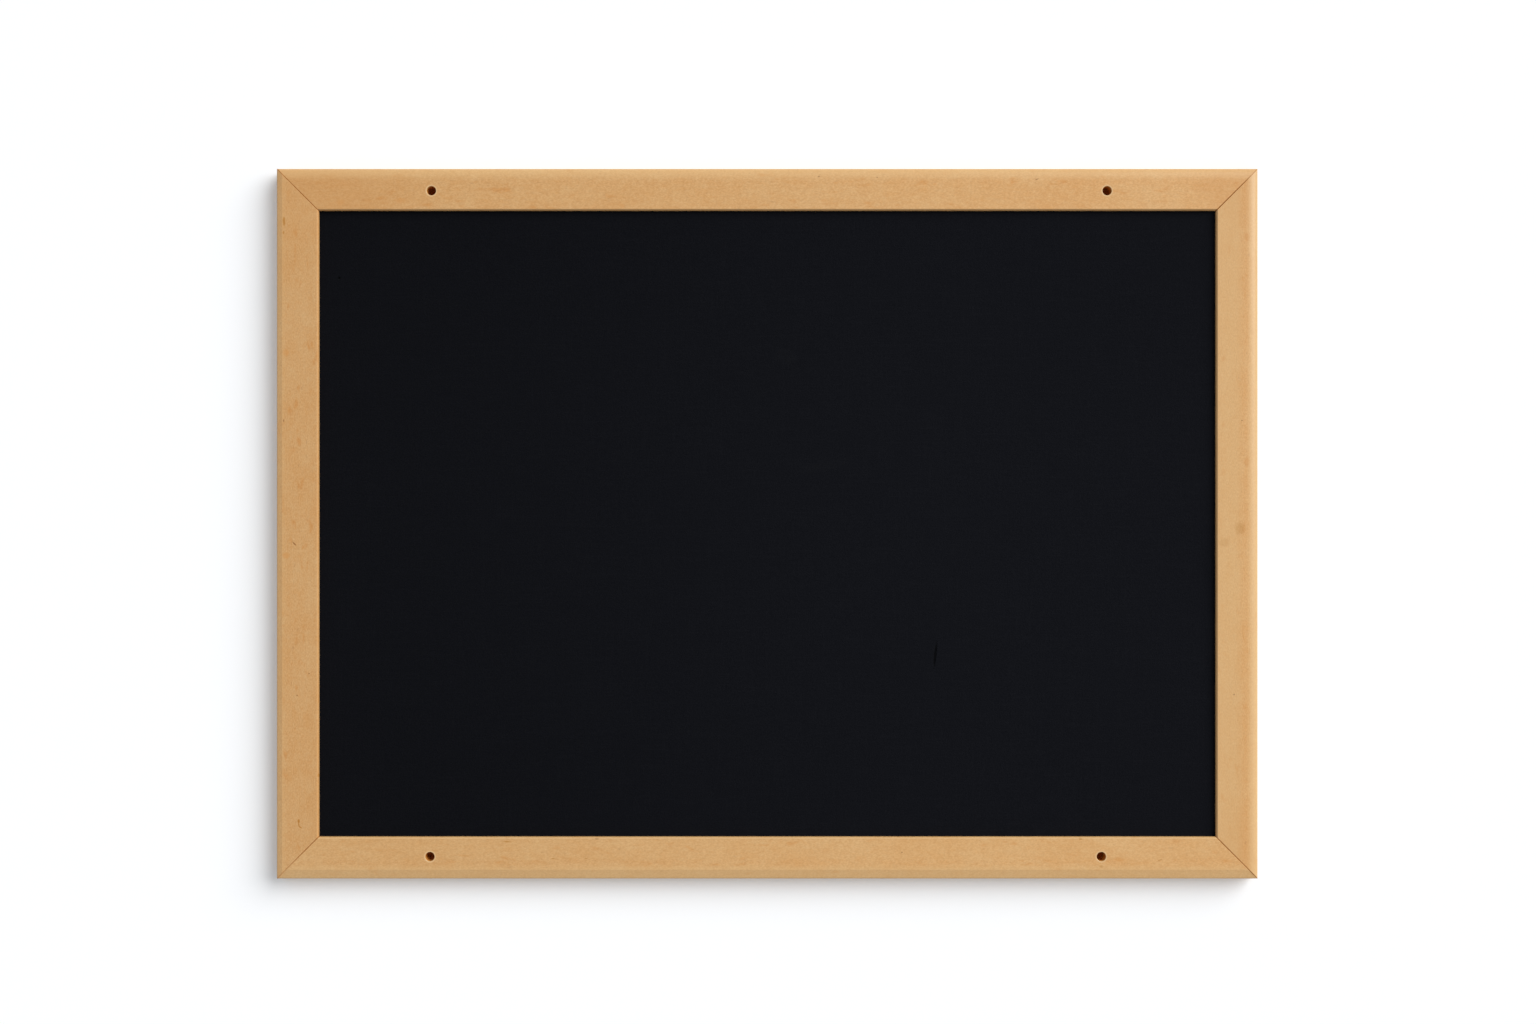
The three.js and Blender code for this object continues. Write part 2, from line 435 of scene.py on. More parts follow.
class Finish(Mixture):
    """A material for one of the board's surfaces."""

    def __init__(self, name):
        self.material = bpy.data.materials.new(name)
        self.material.use_nodes = True
        super().__init__(self.material.node_tree)
        self.shader = self.nodes["Principled BSDF"]

    def place(self):
        return self.add("ShaderNodeTexCoord", {}, {}, "Object")

    def parts(self, place):
        """The X, Y and Z of a place."""
        first = self.add("ShaderNodeSeparateXYZ", {}, {0: place})
        return [Reading(self, output) for output in first.socket.node.outputs]

    def stretched(self, place, scale, turn=(0, 0, 0)):
        inputs = {"Vector": place, "Scale": scale, "Rotation": turn}
        return self.add("ShaderNodeMapping", {}, inputs)

    def cloud(self, place, size, detail=2.0, roughness=0.5, distortion=0.0):
        """Noise from 0 to 1, whose lumps are about this many metres across."""
        inputs = {"Vector": place, "Scale": 1 / size, "Detail": detail}
        inputs.update({"Roughness": roughness, "Distortion": distortion})
        return self.add("ShaderNodeTexNoise", {}, inputs)

    def spot(self, place, centre, size, turn, ragged):
        """1 in the middle of an oval and 0 outside it. Its centre and half sizes lie in X and
        Z, in millimetres, it is turned by degrees, and a cloud makes its edge ragged."""
        inputs = {"Vector": place, "Location": (centre[0] * mm, 0, centre[1] * mm)}
        inputs["Scale"] = (size[0] * mm, 1, size[1] * mm)
        inputs["Rotation"] = (0, math.radians(turn), 0)
        centred = self.add("ShaderNodeMapping", {"vector_type": "TEXTURE"}, inputs)
        away = self.add("ShaderNodeVectorMath", {"operation": "LENGTH"}, {0: centred}, "Value")
        return (away + ragged).fall(0.45, 1.15)

    def scale(self, colour, amount):
        """A colour made lighter or darker by a reading near 1."""
        inputs = {0: colour, "Scale": amount}
        return self.add("ShaderNodeVectorMath", {"operation": "SCALE"}, inputs)

    def bump(self, height, depth, under=None):
        """Relief: height from 0 to 1 stands for this many metres."""
        inputs = {"Height": height, "Distance": depth, "Strength": 1.0}
        if under:
            inputs["Normal"] = under
        return self.add("ShaderNodeBump", {}, inputs)

    def give(self, sockets):
        for name, value in sockets.items():
            self.set(self.shader.inputs[name], value)
        return self.material


wood_pale = (0.650, 0.378, 0.154)
wood_deep = (0.610, 0.308, 0.099)
# the orange of stains and blotches, and of the painted shade on the lips
stain_and_shade_orange = (0.575, 0.252, 0.060)
wood_stain = (0.520, 0.227, 0.054)
wood_brown = (0.170, 0.052, 0.008)
# the pale of wear and of painted highlight on the bars
wood_worn = (0.665, 0.445, 0.205)
wood_in_groove = (0.310, 0.090, 0.0)
# the painted highlight round the screw holes, and the painted shade where they turn in
wood_halo_round_hole = (0.700, 0.455, 0.220)
wood_hole_wall_shade = (0.500, 0.185, 0.028)
raw_wood = (0.640, 0.430, 0.240)
raw_streak = (0.500, 0.300, 0.140)
raw_joint = (0.120, 0.050, 0.015)
dark_mark = (0.230, 0.073, 0.0)
tan_mark = (0.400, 0.150, 0.0)
planer_pitch = 4.5 * mm


def pale_wear_and_highlight(inwards, front, cloudy, worn):
    """Where a bar is painted pale, partly as wear of the varnish and partly as painted highlight:
    its flat, its outer edge and the crest above the lip.
    """
    edge_end = worn["edge_end"] * mm
    flat = inwards.rise(8 * mm, 15 * mm) * worn["flat"]
    edge = inwards.fall(edge_end - 3 * mm, edge_end + 3 * mm) * worn["edge"]
    from_crest = abs(inwards - (bar_width - lip_width * 0.7))
    crest = from_crest.fall(0.15 * mm, 0.6 * mm) * worn["crest"] * front
    return ((flat + edge) * (0.7 + cloudy * 0.6)).max(crest)


def groove_line(wood, place, off_mitre, inwards, at_last, tints):
    """How dark the varnish in the mitres' grooves is, at each one's outer and inner end."""
    (first_outer, first_inner), (last_outer, last_inner) = tints
    outer = first_outer + at_last * (last_outer - first_outer)
    inner = first_inner + at_last * (last_inner - first_inner)
    tint = outer + (inner - outer) * inwards.rise(4 * mm, 22 * mm)
    uneven = wood.cloud(place, 6 * mm, 2.0) * 0.8 + 0.6
    return off_mitre.fall(0.12 * mm, 0.52 * mm) * tint * uneven


def hole_distance(wood, x, z):
    """How far a spot lies from the middle line of the nearest screw hole."""
    flat = wood.add("ShaderNodeCombineXYZ", {}, {0: x, 1: 0.0, 2: z})
    nearest = None
    for centre in holes:
        away = wood.add("ShaderNodeVectorMath", {"operation": "DISTANCE"},
                        {0: flat, 1: (centre.x, 0, centre.z)}, "Value")
        nearest = nearest.min(away) if nearest else away
    return nearest


def wood_finish(name, upright, tone, worn, tints, marks):
    """Clear-varnished wood whose grain runs along the bar, and is bare at the back."""
    wood = Finish(name)
    place = wood.place()
    x, y, z = wood.parts(place)
    own_piece = (tone * 3.1, tone, tone * 5.3)  # each bar is cut from another stretch of wood
    timber = wood.add("ShaderNodeVectorMath", {}, {0: place, 1: own_piece})

    def along_grain(share):
        return wood.stretched(timber, (1, 1, share) if upright else (share, 1, 1))

    fleck_place = along_grain(0.42)
    figure = wood.cloud(fleck_place, 24 * mm, 3.5, 0.88)
    cloudy = wood.cloud(timber, 30 * mm, 3.0, 0.85)
    fibre = wood.cloud(along_grain(0.13), 1.3 * mm, 3.0, 0.6)
    mottle = wood.cloud(timber, 2.4 * mm, 1.5, 0.6)
    speckle = wood.cloud(along_grain(0.6), 0.75 * mm, 1.0, 0.6)
    blotch = wood.cloud(fleck_place, 5 * mm, 2.5, 0.6).rise(0.58, 0.76)
    flecks = wood.cloud(fleck_place, 2.4 * mm, 1.0, 0.4).rise(0.73, 0.80)
    pores = wood.cloud(fleck_place, 1.0 * mm, 1.0, 0.5).rise(0.67, 0.79)
    vessels = wood.cloud(along_grain(0.09), 0.26 * mm, 1.0, 0.5).rise(0.58, 0.72)

    depth = (figure - 0.5) * 1.4 + (cloudy - 0.5) * 1.3 + (fibre - 0.5) * 0.8
    depth = depth - (mottle - 0.5) * 0.9 - (speckle - 0.5) * 1.6
    depth = depth + (1 - tone) * 2.0 + 0.5
    colour = wood.mix(depth, wood_pale, wood_deep)
    colour = wood.mix(blotch * 0.75, colour, stain_and_shade_orange)
    colour = wood.mix(pores * 0.12 + flecks * 0.20 + vessels * 0.12, colour, wood_brown)
    # painted light: the wood is painted paler towards the right, as the light from the right
    # falls off to the left
    painted_light_from_right = x.rise(-0.34, 0.34) * 0.115
    colour = wood.scale(colour, painted_light_from_right + (tone - 0.053) + (speckle - 0.5) * 0.30)

    ragged = (wood.cloud(place, 1.6 * mm, 2.0) - 0.5) * 0.9
    for centre, size, turn, strength, shade in marks:
        mask = wood.spot(place, centre, size, turn, ragged)
        colour = wood.mix(mask * strength, colour, shade)

    # the edges are painted pale, partly as wear of the varnish and partly as painted highlight,
    # and the varnish lies dark in the mitres' grooves
    from_end = board_width / 2 - abs(x)
    from_top = board_height / 2 - abs(z)
    inwards = from_end.min(from_top)
    off_mitre = abs(from_end - from_top)
    front = (0 - y).rise(bar_depth - 3 * mm, bar_depth - 2.6 * mm)
    lip = inwards.rise(bar_width - lip_width * 1.3, bar_width - lip_width * 0.8) * front
    pale_wear_and_highlight_share = pale_wear_and_highlight(inwards, front, cloudy, worn).max(lip * 0.15)
    colour = wood.mix(pale_wear_and_highlight_share, colour, wood_worn)
    # painted shade: the lip's chamfer is painted orange, as wood looks in shade
    colour = wood.mix(lip * worn["lip_painted_shade"], colour, stain_and_shade_orange)
    at_last = (z if upright else x).rise(-mm, mm)
    line = groove_line(wood, place, off_mitre, inwards, at_last, tints)
    line = (line * front).min(1.0)
    colour = wood.mix(line, colour, wood_in_groove)

    # painted shade and highlight: the drilled holes are painted dark brown where their mouths
    # turn in, and a pale ring is painted round them as painted highlight
    from_hole = hole_distance(wood, x, z)
    ring = from_hole.fall(hole_radius + 0.7 * mm, hole_radius + 1.2 * mm)
    hole_wall_shade = from_hole.fall(hole_radius + 0.02 * mm, hole_radius + 0.16 * mm)
    colour = wood.mix(ring * 0.8, colour, wood_halo_round_hole)
    colour = wood.mix(hole_wall_shade * 0.95, colour, wood_hole_wall_shade)

    # the back and the rebate are bare wood, with the planer's faint ripples
    from_edge = from_end if upright else from_top
    in_rebate = from_edge.rise(rebate_wall - 0.3 * mm, rebate_wall - 0.1 * mm)
    in_rebate = in_rebate * (0 - y).fall(rebate_depth + 0.02 * mm, rebate_depth + 0.1 * mm)
    bare = y.rise(-0.9 * mm, -0.3 * mm).max(in_rebate).min(1 - hole_wall_shade)
    ripple = (z if upright else x).wave(planer_pitch)
    bare_colour = wood.mix(figure * 0.8 + fibre * 1.4 - 0.6, raw_wood, raw_streak)
    bare_colour = wood.mix(pores * 0.25 + vessels * 0.30, bare_colour, wood_brown)
    joint = off_mitre.fall(0.03 * mm, 0.16 * mm) * 0.75
    bare_colour = wood.mix(joint, bare_colour, raw_joint)
    colour = wood.mix(bare, colour, wood.scale(bare_colour, 1.0 + ripple * 0.03))

    relief = fibre * 0.4 + mottle * 0.4 + speckle * 0.3 - pores * 0.6 - vessels * 0.3
    grain_bump = wood.bump(relief, 0.05 * mm)
    ripple_bump = wood.bump(ripple * 0.5 * bare, 0.06 * mm, grain_bump)
    unvarnished = (bare + hole_wall_shade + line).min(1.0)
    return wood.give({
        "Base Color": colour, "Normal": ripple_bump,
        "Roughness": 0.42 + (mottle - 0.5) * 0.18 + unvarnished * 0.4,
        "Coat Weight": 0.35 * (1 - unvarnished), "Coat Roughness": 0.28, "Coat IOR": 1.5,
        "Specular IOR Level": 0.35,
    })


# painted shade: inside the holes the drill left the wood bare, and it is painted darker and
# redder than the bare back, redder still deeper in
drilled = Finish("drilled_wood")
place = drilled.place()
forward = 0 - drilled.parts(place)[1]
turned = drilled.cloud(drilled.stretched(place, (0.12, 1, 0.12)), 0.5 * mm, 2.0, 0.6)
deeper_hole_shade = forward.fall(8 * mm, bar_depth - 0.5 * mm)
drilled_colour = drilled.mix(deeper_hole_shade, (0.60, 0.30, 0.075), (0.72, 0.265, 0.035))
drilled_wood = drilled.give({
    "Base Color": drilled.scale(drilled_colour, 0.82 + turned * 0.36), "Roughness": 0.9,
    "Specular IOR Level": 0.0, "Normal": drilled.bump(turned, 0.08 * mm),
})

mitre_tints = {  # how dark each mitre's groove is, at the outer and the inner corner
    "top_left": (0.85, 0.90), "top_right": (0.65, 3.2),
    "bottom_left": (0.45, 1.10), "bottom_right": (0.95, 1.55),
}

# Each bar has its turn from the top one, its edge, its corners from low to high along the
# board's own axes, its tone, how pale it is painted, partly as wear of the varnish and partly
# as painted highlight (on the flat, on the outer edge and up to how many millimetres in, and
# along the crest above the lip), and how orange its lip is painted as painted shade. The
# marks are stains and flecks: centre and half sizes in millimetres, turn in degrees,
# strength and colour.
bars = {
    "top_rail": {
        "turn": 0, "edge": soft_edge(), "corners": ("top_left", "top_right"), "tone": 0.995,
        "worn": {"flat": 0.05, "edge": 0.35, "edge_end": 6.0, "crest": 0.45, "lip_painted_shade": 0.35},
        "marks": [
            ((-300.0, 214.0), (75, 30), 0, 0.36, wood_stain),
            ((303.0, 215.0), (30, 18), 0, 0.32, stain_and_shade_orange),
            ((33.1, 222.8), (0.88, 0.5), -10, 0.85, dark_mark),
            ((70.4, 222.2), (0.62, 0.44), 0, 0.65, dark_mark),
            ((173.0, 221.0), (1.38, 0.44), -20, 0.72, dark_mark),
            ((-274.1, 206.2), (3.2, 2.4), 0, 0.45, stain_and_shade_orange),
            ((-235.6, 207.5), (3.6, 2.2), 0, 0.45, stain_and_shade_orange),
        ],
    },
    "bottom_rail": {
        "turn": 180, "edge": bevelled_edge(bottom_bevel), "tone": 0.99,
        "corners": ("bottom_left", "bottom_right"),
        "worn": {"flat": 0.15, "edge": 0.36, "edge_end": 8.5, "crest": 0.65, "lip_painted_shade": 0.0},
        "marks": [
            ((-167.0, -203.9), (2.88, 0.62), 0, 0.80, tan_mark),
            ((-109.3, -202.0), (1.62, 0.62), 0, 0.87, dark_mark),
            ((-137.5, -214.8), (1.5, 0.5), -15, 0.65, tan_mark),
            ((-116.3, -214.8), (1.25, 0.5), 0, 0.65, tan_mark),
            ((86.4, -210.9), (0.75, 0.5), 0, 0.72, dark_mark),
            ((200.9, -202.1), (1.5, 0.75), 0, 0.95, tan_mark),
            ((214.0, -219.9), (1.62, 0.88), 0, 0.51, tan_mark),
            ((251.9, -215.7), (1.75, 0.5), -25, 0.58, tan_mark),
        ],
    },
    "left_stile": {
        "turn": 270, "edge": bevelled_edge(left_bevel), "tone": 0.973,
        "corners": ("bottom_left", "top_left"),
        "worn": {"flat": 0.0, "edge": 0.22, "edge_end": 4.6, "crest": 0.0, "lip_painted_shade": 0.30},
        "marks": [
            ((-300.0, 208.0), (30, 36), 0, 0.20, stain_and_shade_orange),
            ((-310.1, 193.9), (1.1, 3.2), 0, 0.85, tan_mark),
            ((-310.4, 186.8), (0.62, 1.3), 0, 0.80, tan_mark),
            ((-310.3, 66.2), (0.56, 1), 0, 0.85, dark_mark),
            ((-303.6, -12.7), (0.56, 2.25), -48, 0.80, dark_mark),
            ((-308.8, -20.4), (3, 2.3), 0, 0.60, stain_and_shade_orange),
            ((-308.8, 109.8), (2.2, 2.6), 0, 0.60, stain_and_shade_orange),
            ((-301.7, -110.2), (0.5, 0.62), 0, 0.75, dark_mark),
            ((-294.0, -96.1), (0.5, 0.5), 0, 0.72, dark_mark),
            ((-288.3, -161.5), (0.5, 1.25), 0, 0.87, tan_mark),
            ((-300.7, -190.8), (0.75, 1.4), 0, 0.90, tan_mark),
            ((-300.6, -193.0), (0.5, 1.7), -10, 0.85, tan_mark),
            ((-299.7, -194.7), (1.4, 0.55), 30, 0.90, tan_mark),
        ],
    },
    "right_stile": {
        "turn": 90, "edge": soft_edge(), "corners": ("bottom_right", "top_right"), "tone": 0.976,
        "worn": {"flat": 0.30, "edge": 0.55, "edge_end": 5.5, "crest": 0.75, "lip_painted_shade": 0.35},
        "marks": [
            ((303.0, 215.0), (20, 28), 0, 0.20, stain_and_shade_orange),
            ((303.0, -215.0), (20, 34), 0, 0.28, stain_and_shade_orange),
            ((303.0, 172.0), (20, 36), 0, 0.15, stain_and_shade_orange),
            ((303.0, -140.0), (20, 62), 0, 0.12, stain_and_shade_orange),
            ((307.7, 184.2), (2.2, 3.4), 0, 0.52, stain_and_shade_orange),
            ((307.7, 39.9), (2.2, 4), 0, 0.52, stain_and_shade_orange),
            ((304.5, 66.2), (0.75, 0.5), 0, 0.72, dark_mark),
            ((303.2, -3.1), (4, 4.5), 0, 0.41, tan_mark),
            ((292.9, -12.1), (4.25, 3.25), 0, 0.32, tan_mark),
            ((299.4, -109.6), (0.62, 0.62), 0, 0.87, dark_mark),
        ],
    },
}
for name, plan in bars.items():
    upright = name.endswith("stile")
    cutter = cutters_for(name, upright, plan["corners"])
    bar = wood_bar(name + "_moulding", plan["turn"], plan["edge"], cutter)
    tints = [mitre_tints[corner] for corner in plan["corners"]]
    bar.data.materials.append(wood_finish(name + "_wood", upright, plan["tone"], plan["worn"],
                                          tints, plan["marks"]))
    if not upright:
        bar.data.materials.append(drilled_wood)
    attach(bar, "root")
    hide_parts(name)


# The felt that notes are pinned to: one sheet of near-black napped cloth, glued over the whole
# face of the board behind it, so its edges lie out of sight under the frame's lip.
felt_low, felt_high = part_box("felt_face")
felt_size = (felt_high.x - felt_low.x, felt_high.z - felt_low.z)
felt_pitch = 4 * mm
felt_hollow = 0.22 * mm  # how far the glued cloth dips between its high spots
felt_dips = ((14, 0.5), (45, 0.3))  # how close together the dips lie, and how deep
felt_level = 0.4

cloth_mesh = bmesh.new()
bmesh.ops.create_grid(cloth_mesh, x_segments=round(felt_size[0] / felt_pitch),
                      y_segments=round(felt_size[1] / felt_pitch), size=0.5, matrix=flat_on)
bmesh.ops.scale(cloth_mesh, vec=(felt_size[0], 1, felt_size[1]), verts=cloth_mesh.verts)
bmesh.ops.translate(cloth_mesh, vec=(0, felt_low.y, 0), verts=cloth_mesh.verts)
top_face = cloth_mesh.faces[:]
bmesh.ops.recalc_face_normals(cloth_mesh, faces=top_face)
if top_face[0].normal.y > 0:
    bmesh.ops.reverse_faces(cloth_mesh, faces=top_face)
for vertex in cloth_mesh.verts:
    dip = sum(noise.noise(vertex.co * close) * deep for close, deep in felt_dips)
    vertex.co.y += felt_hollow * min(max(dip + felt_level, 0), 1)
cloth = bmesh.ops.extrude_face_region(cloth_mesh, geom=top_face)
under = [part for part in cloth["geom"] if isinstance(part, bmesh.types.BMVert)]
for vertex in under:
    vertex.co.y = felt_high.y
felt = object_of(cloth_mesh, "felt_sheet")
smooth(felt, 40)

felt_black = (0.0040, 0.0043, 0.0060)
felt_worn = (0.0092, 0.0096, 0.0121)
felt_pale = (0.0175, 0.0175, 0.0180)
felt_hole = (0.0010, 0.0010, 0.0012)
warp_pitch = 0.62 * mm
weft_pitch = 0.58 * mm

nap = Finish("black_felt")
place = nap.place()
x, y, z = nap.parts(place)
slub_across = nap.cloud(nap.stretched(place, (0.055, 1, 1)), 1.1 * mm, 2.0, 0.5).rise(0.50, 0.72)
slub_up = nap.cloud(nap.stretched(place, (1, 1, 0.055)), 1.2 * mm, 2.0, 0.5).rise(0.52, 0.74)
warp = x.wave(warp_pitch)
weft = z.wave(weft_pitch)
fuzz = nap.cloud(place, 0.7 * mm, 2.0, 0.6)
lie = nap.cloud(place, 70 * mm, 2.0)
patchy = nap.cloud(place, 9 * mm, 3.0, 0.6)
thread = slub_across * 0.10 + slub_up * 0.08 + (fuzz - 0.5) * 1.25 + (warp * weft) * 0.12
thread = thread + (patchy - 0.5) * 0.08 + 0.19
colour = nap.mix(thread.max(0.0).min(1.0), felt_black, felt_worn)

# faint pale rubs, a pin hole and a short nick
ragged = (nap.cloud(place, 5 * mm, 3.0) - 0.5) * 1.2
rub_strength = 0.06
for centre, size, turn in (((11.3, 107.9), (9, 5), 20), ((35, 37.3), (16, 4), -10)):
    rub = nap.spot(place, centre, size, turn, ragged)
    colour = nap.mix(rub * rub_strength, colour, felt_pale)
sharp = (fuzz - 0.5) * 0.5
pin_hole = nap.spot(place, (-275.4, 157.9), (1.0, 1.0), 0, sharp)
nick = nap.spot(place, (107.8, -84.3), (1.0, 8.8), 6, sharp)
holed = pin_hole.max(nick * 0.8)
colour = nap.mix(holed, colour, felt_hole)

# painted light: the felt is painted lighter towards the right, as the light from the right falls
# off, and a little darker towards the top and bottom; the lie of its nap varies it at random
light = 0.775 + x.rise(-0.30, 0.15) * 0.315 + (lie - 0.5) * 0.05
light = light - abs(z).rise(0.04, 0.20) * 0.05
nap_bump = nap.bump(fuzz * 0.6 + thread * 0.5 + (warp + weft) * 0.06, 0.25 * mm)
nap_bump = nap.bump(1 - holed, 0.8 * mm, nap_bump)
felt.data.materials.append(nap.give({
    "Base Color": nap.scale(colour, light), "Roughness": 0.95, "Specular IOR Level": 0.04,
    "Sheen Weight": 0.02, "Sheen Roughness": 0.5, "Sheen Tint": (0.75, 0.8, 1.0),
    "Normal": nap_bump,
}))
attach(felt, "root")
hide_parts("felt_face")


# The pin board under the felt: soft grey-brown fibreboard, pressed in layers and sawn to size,
# with the felt glued on its front and the hardboard on its back.
fibres = Finish("fibreboard")
place = fibres.place()
layers = fibres.cloud(fibres.stretched(place, (0.25, 4, 0.25)), 2.2 * mm, 3.0, 0.65)
tufts = fibres.cloud(place, 0.9 * mm, 3.0, 0.7, 0.6)
shred = fibres.cloud(fibres.stretched(place, (0.2, 1, 1), (0, 0.6, 0)), 1.6 * mm, 2.0)
pulp = fibres.mix(layers.rise(0.35, 0.65), (0.27, 0.19, 0.115), (0.38, 0.285, 0.185))
pulp = fibres.scale(pulp, 0.72 + tufts * 0.32 + shred * 0.24)
core_bump = fibres.bump(tufts * 0.7 + shred * 0.5, 0.25 * mm)
core = frame["nodes"]["core_board"]
core.data.materials.clear()
core.data.materials.append(fibres.give({
    "Base Color": pulp, "Roughness": 0.92, "Specular IOR Level": 0.2, "Normal": core_bump,
}))


# The backing: thin brown hardboard glued to the fibreboard. Its sawn edges are eased, and the
# side that shows carries the print of the mesh that it was pressed on.
backing_ease = 0.4 * mm
mesh_pitch = 1.25 * mm
back_low, back_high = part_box("backing_board")

board_mesh = bmesh.new()
bmesh.ops.create_cube(board_mesh, size=1)
bmesh.ops.scale(board_mesh, vec=back_high - back_low, verts=board_mesh.verts)
bmesh.ops.translate(board_mesh, vec=(back_low + back_high) / 2, verts=board_mesh.verts)
rear = [e for e in board_mesh.edges if all(v.co.y > back_high.y - hair for v in e.verts)]
bmesh.ops.bevel(board_mesh, geom=rear, offset=backing_ease, offset_type="OFFSET", segments=3,
                affect="EDGES", profile=0.5, material=-1)
backing = object_of(board_mesh, "backing_sheet")
smooth(backing, 35)

pressed = Finish("hardboard")
place = pressed.place()
x, y, z = pressed.parts(place)
mesh_print = x.wave(mesh_pitch).max(z.wave(mesh_pitch)) * 0.5 + 0.5
stain = pressed.cloud(place, 40 * mm, 5.0, 0.6)
fibre = pressed.cloud(pressed.stretched(place, (0.3, 1, 1), (0, 0.9, 0)), 1.1 * mm, 3.0, 0.65)
fibre_too = pressed.cloud(pressed.stretched(place, (1, 1, 0.3), (0, 0.5, 0)), 1.0 * mm, 3.0, 0.65)
chips = pressed.cloud(place, 3.0 * mm, 2.0).rise(0.62, 0.72)
brown = pressed.mix(stain, (0.150, 0.075, 0.033), (0.200, 0.104, 0.048))
brown = pressed.mix(fibre.max(fibre_too).rise(0.56, 0.74) * 0.45, brown, (0.30, 0.175, 0.09))
brown = pressed.mix(chips * 0.45, brown, (0.085, 0.042, 0.020))
brown = pressed.scale(brown, 0.82 + mesh_print * 0.22)
print_bump = pressed.bump(mesh_print, 0.12 * mm)
print_bump = pressed.bump(fibre * 0.5 + fibre_too * 0.5, 0.10 * mm, print_bump)
rough = 0.55 + (stain - 0.5) * 0.2 + (1 - mesh_print) * 0.12
backing.data.materials.append(pressed.give({
    "Base Color": brown, "Roughness": rough, "Specular IOR Level": 0.35, "Normal": print_bump,
}))
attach(backing, "root")
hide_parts("backing_board")


# The retaining points: small arrow-headed tabs stamped from thin zinc-plated strip, pushed into
# the rebate's wall so that their blunt ends lie over the panel's back, a little turned up.
tab_half = 3 * mm
tab_tip_half = 1 * mm
tab_taper = 4 * mm
tab_corner = 0.8 * mm
tab_rim = 0.07 * mm
rim_angle = math.radians(69)  # edges sharper than this are eased
tab_lift = 0.7 * mm  # how far the blunt end stands off the panel
tab_bend = 3 * mm  # where the turned-up end starts, from the blunt end
tab_bend_steps = 3
tab_curl = 1.6  # 1 would turn it up straight, more rounds the bend
tab_colour = (0.44, 0.44, 0.435)
tab_shine = 0.34


def slab(corners, front, back):
    """A flat shape in X and Z, between two depths."""
    shape = bmesh.new()
    face = shape.faces.new([shape.verts.new((x, front, z)) for x, z in corners])
    risen = bmesh.ops.extrude_face_region(shape, geom=[face])
    moved = [part for part in risen["geom"] if isinstance(part, bmesh.types.BMVert)]
    bmesh.ops.translate(shape, vec=(0, back - front, 0), verts=moved)
    bmesh.ops.recalc_face_normals(shape, faces=shape.faces)
    return shape


def steel_tab(reach, thickness):
    """A tab that lies in X and Z round the origin, with its tip upwards."""
    line = [(-tab_half, -reach), (tab_half, -reach), (tab_half, reach - tab_taper),
            (tab_tip_half, reach), (-tab_tip_half, reach), (-tab_half, reach - tab_taper)]
    tab = slab(line, -thickness / 2, thickness / 2)
    for step in range(tab_bend_steps):
        parts = tab.verts[:] + tab.edges[:] + tab.faces[:]
        bend_at = (0, 0, -reach + tab_bend * (1 - step / tab_bend_steps))
        bmesh.ops.bisect_plane(tab, geom=parts, dist=1e-7, plane_co=bend_at, plane_no=(0, 0, 1))
    blunt = [e for e in tab.edges if all(v.co.z < -reach + hair for v in e.verts)
             and abs(e.verts[0].co.y - e.verts[1].co.y) > thickness / 2]
    bmesh.ops.bevel(tab, geom=blunt, offset=tab_corner, offset_type="OFFSET", segments=4,
                    affect="EDGES", profile=0.5, material=-1)
    for vertex in tab.verts:
        share = max((-reach + tab_bend - vertex.co.z) / tab_bend, 0)
        vertex.co.y += tab_lift * share ** tab_curl
    rims = [e for e in tab.edges if len(e.link_faces) == 2
            and e.calc_face_angle(0) > rim_angle]
    bmesh.ops.bevel(tab, geom=rims, offset=tab_rim, offset_type="OFFSET", segments=2,
                    affect="EDGES", profile=0.5, material=-1)
    return tab


def steel_finish(name, colour, along, shine):
    """Plated strip with rolling lines along it, dull spots and scuffs."""
    steel = Finish(name)
    place = steel.place()
    rolled = steel.cloud(steel.stretched(place, along), 0.35 * mm, 3.0, 0.6)
    dull = steel.cloud(place, 2.4 * mm, 3.0, 0.6)
    scuff = steel.cloud(place, 0.9 * mm, 2.0).rise(0.62, 0.75)
    tint = steel.mix(dull.rise(0.4, 0.7), colour, tuple(c * 0.72 for c in colour))
    tint = steel.scale(tint, 0.86 + rolled * 0.26 - scuff * 0.18)
    rough = shine + (dull - 0.5) * 0.24 + scuff * 0.15
    return steel.give({"Base Color": tint, "Metallic": 1.0, "Roughness": rough,
                       "Normal": steel.bump(rolled * 0.6 + dull * 0.4, 0.02 * mm)})


upright_steel = steel_finish("point_steel_upright", tab_colour, (1, 1, 0.1), tab_shine)
level_steel = steel_finish("point_steel_level", tab_colour, (0.1, 1, 1), tab_shine)
turns = {"top": 0, "right": 90, "bottom": 180, "left": 270}
for node in sorted(frame["nodes"]):
    if not node.startswith("retaining_point"):
        continue
    side = node.split("_")[2]
    upright = side in ("top", "bottom")
    low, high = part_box(node)
    tab = steel_tab((high.z - low.z if upright else high.x - low.x) / 2, high.y - low.y)
    place = Matrix.Translation((low + high) / 2)
    place = place @ Matrix.Rotation(math.radians(turns[side]), 4, "Y")
    bmesh.ops.transform(tab, matrix=place, verts=tab.verts)
    point = object_of(tab, node.replace("retaining_point", "steel_tab"))
    smooth(point, 30)
    point.data.materials.append(upright_steel if upright else level_steel)
    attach(point, "root")
    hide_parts(node)


